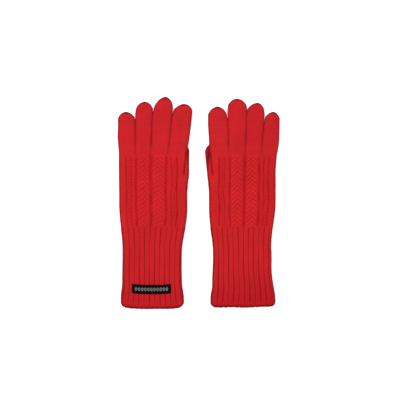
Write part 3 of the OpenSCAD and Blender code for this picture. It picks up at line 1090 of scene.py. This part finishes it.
def make_glove(side):
    glove = Glove(side)
    cuff = make_cuff(glove)
    hem = make_hem(glove)
    make_hand(glove)
    make_fingers(glove)
    make_thumb(glove)
    bend_at(glove, cuff, 0, glove.y_wrist - 1, glove.y_wrist - 21)
    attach(hem, f"{side}_cuff_body")
    return glove, cuff


# ---- the label
class Label:
    """Where the label lies: its middle, half its length and width, and the cuff under it."""

    def __init__(self, glove):
        low, high = glove.box("woven_label")
        self.glove = glove
        self.x, self.y = (low[0] + high[0]) / 2 - glove.centre, (low[1] + high[1]) / 2
        self.half_x, self.half_y = (high[0] - low[0]) / 2, (high[1] - low[1]) / 2

    def dip(self, h):
        """How far the label lies above its seat, at share h of its half length."""
        return 0.95 - 1.0 * (1 - h ** 2) + 0.1 * h

    def cuff_top(self, x, y):
        """Height of the cuff's upper side, over its ribs."""
        return 2 * self.glove.rise + sag_at(self.glove, x, y) + RIB_TOP


def cloth_points(label, v, h):
    """The label's upper and lower side, for shares v across and h along it."""
    x, y = label.x + label.half_x * h, label.y + label.half_y * v
    long_edges = 0.18 * wobble(x, y * 0, SEEDS["label_long"], 21) * np.abs(v)
    short_edges = 0.12 * wobble(y, x * 0, SEEDS["label_short"], 9) * np.abs(h) ** 8
    base = label.cuff_top(x, y)
    ribs = 0.1 * np.cos(2 * np.pi * RIBS_ROUND_CUFF * x / (4 * 40.0))
    folded_end = 0.22 * smooth(np.abs(h), 0.95, 0.97)
    rounded = 0.3 * (smooth(np.abs(h), 0.985, 1.0) + smooth(np.abs(v), 0.93, 1.0))
    top = base + LABEL_THICK + ribs + folded_end - rounded
    under = np.minimum(base + ribs * 0.5, top - 0.15)
    y = y + label.dip(h) + long_edges + short_edges
    return np.stack([x, y, top], axis=-1), np.stack([x, y, under], axis=-1)


def make_cloth(label):
    across, along = 27, 105
    v, h = np.meshgrid(np.linspace(-1, 1, across), np.linspace(-1, 1, along), indexing="ij")
    points = np.concatenate([side.reshape(-1, 3) for side in cloth_points(label, v, h)])
    count = across * along
    spots = np.arange(count).reshape(across, along)
    quads = corners_of(spots[:-1, :-1], spots[:-1, 1:], spots[1:, 1:], spots[1:, :-1]).reshape(-1, 4)
    rim = np.concatenate([spots[0], spots[1:, -1], spots[-1, -2::-1], spots[-2:0:-1, 0]]).tolist()
    sides = [[b, a, a + count, b + count] for a, b in zip(rim, rim[1:] + rim[:1])]
    faces = quads.tolist() + (quads[:, ::-1] + count).tolist() + sides
    spot = np.stack([(h + 1) / 2, (v + 1) / 2], axis=-1).reshape(-1, 2)
    near, far = np.arange(len(sides)) / len(sides), np.arange(1, len(sides) + 1) / len(sides)
    low, high = np.full(len(sides), 0.42), np.full(len(sides), 0.45)
    edge = np.stack([np.stack([far, near, near, far]), np.stack([low, low, high, high])]).T
    bake = [
        spot[quads].reshape(-1, 2) * (1, 0.45) + (0, 0.5),
        spot[quads[:, ::-1]].reshape(-1, 2) * (1, 0.4),
        edge.reshape(-1, 2),
    ]
    cloth = np.stack([label.half_x * h, label.half_y * v], axis=-1).reshape(-1, 2)
    corner = np.tile([label.half_x, label.half_y], (4 * len(sides), 1))
    knit = [cloth[quads].reshape(-1, 2), cloth[quads[:, ::-1]].reshape(-1, 2), corner]
    painted_shade = np.ones(len(points))
    return make_piece(
        label.glove, "label_cloth", "label_weave", "woven_label", points, faces, bake, knit, painted_shade)


def stitch_seats(label):
    """Where the stitches lie, and whether each one is turned."""
    inset, spacing = 1.2, 3.9
    seats = []
    for side in (-1, 1):
        for x in np.arange(-label.half_x + 2.6, label.half_x - 2.0, spacing):
            seats.append((x, side * (label.half_y - inset), False))
        for y in np.arange(-label.half_y + 3.2, label.half_y - 2.4, spacing):
            seats.append((side * (label.half_x - inset), y, True))
    return seats


def make_sewing(label):
    """Short threads whose ends go down into the label."""
    length, radius, above, ends_down = 2.2, 0.2, 0.26, 0.45
    around, steps = 8, 11
    ring = (np.arange(around) * 2 * np.pi / around)[None, :, None]
    arc = np.linspace(-1, 1, steps)
    reach = arc * length / 2
    points, faces = [], []
    for seat_x, seat_y, turned in stitch_seats(label):
        x = seat_x + (0 if turned else reach)
        y = label.y + seat_y + (reach if turned else 0) + label.dip(x / label.half_x)
        x, y = np.broadcast_arrays(label.x + x, y)
        z = label.cuff_top(x, y) + LABEL_THICK + above - ends_down * arc ** 4
        sideways, up = np.array([float(turned), 1.0 - turned, 0]), np.array([0, 0, 1.0])
        tube = np.stack([x, y, z], axis=-1)[:, None] + radius * (np.cos(ring) * sideways + np.sin(ring) * up)
        first = len(points) * around * steps
        points.append(tube.reshape(-1, 3))
        j, i = cell_numbers(steps - 1, around)
        low, beside = first + j * around, (i + 1) % around
        quads = corners_of(low + i, low + beside, low + around + beside, low + around + i)
        last = first + (steps - 1) * around
        start, end = list(range(first, first + around)), list(range(last, last + around))
        turn = -1 if turned else 1
        faces += quads.reshape(-1, 4)[:, ::-turn].tolist() + [start[::turn], end[::-turn]]
    total = sum(len(face) for face in faces)
    spread = np.stack([np.arange(total) / total, np.full(total, 0.5)], axis=-1)
    points = np.concatenate(points)
    piece = make_piece(
        label.glove, "label_sewing", "label_thread", "label_stitches",
        points, faces, [spread], [spread], np.ones(len(points)),
    )
    piece.data.uv_layers.remove(piece.data.uv_layers["OFBake"])
    return piece


def make_label(glove):
    """The woven label on the cuff, and the stitches that hold it."""
    label = Label(glove)
    cloth, sewing = make_cloth(label), make_sewing(label)
    for piece in (cloth, sewing):
        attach(piece, f"{glove.side}_cuff_body")


# ---- camera, light and floor
# Soft light from above on the left, as in the photo; angles in degrees
ROOM_LIGHT = 0.85
FLOOR_GLOW = 0.45
FLOOR_DEPTH = 0.0006  # in metres, like the view's distance and width
VIEW_DISTANCE = 3.0
VIEW_WIDTH = 0.5333
VIEW_CENTRE = (0.002, 0.0033)
SENSOR = 36
LAMPS = (
    ("key", (-0.5, 0.85, 1.5), 35, 1.3),
    ("fill", (0.7, -0.4, 1.4), 60, 0.25),
)


def make_stage():
    scene = bpy.context.scene
    scene.view_settings.view_transform = "Standard"
    data = bpy.data.cameras.new("camera")
    data.sensor_width = SENSOR
    data.lens = SENSOR * VIEW_DISTANCE / VIEW_WIDTH
    data.clip_end = 20
    scene.camera = place_object("camera", data)
    scene.camera.location = (*VIEW_CENTRE, VIEW_DISTANCE)

    bpy.ops.mesh.primitive_plane_add(size=6, location=(0, 0, -FLOOR_DEPTH))
    floor = bpy.context.object
    floor.name = "floor"
    material, tree = nodes_of("floor_white")
    finish_shader(tree, {
        "Base Color": (0.93, 0.93, 0.93, 1), "Roughness": 0.9, "Specular IOR Level": 0.1,
        "Emission Color": (1, 1, 1, 1), "Emission Strength": FLOOR_GLOW,
    })
    floor.data.materials.append(material)

    world = bpy.data.worlds.new("studio")
    scene.world = world
    world.use_nodes = True
    background = world.node_tree.nodes["Background"]
    background.inputs["Color"].default_value = (1, 1, 1, 1)
    background.inputs["Strength"].default_value = ROOM_LIGHT

    for name, toward, spread, strength in LAMPS:
        light = bpy.data.lights.new(name, "SUN")
        light.angle = math.radians(spread)
        light.energy = strength
        place_object(name, light).rotation_euler = Vector(toward).to_track_quat("Z", "Y").to_euler()


make_stage()
LEFT, LEFT_CUFF = make_glove("left")
make_glove("right")
make_label(LEFT)
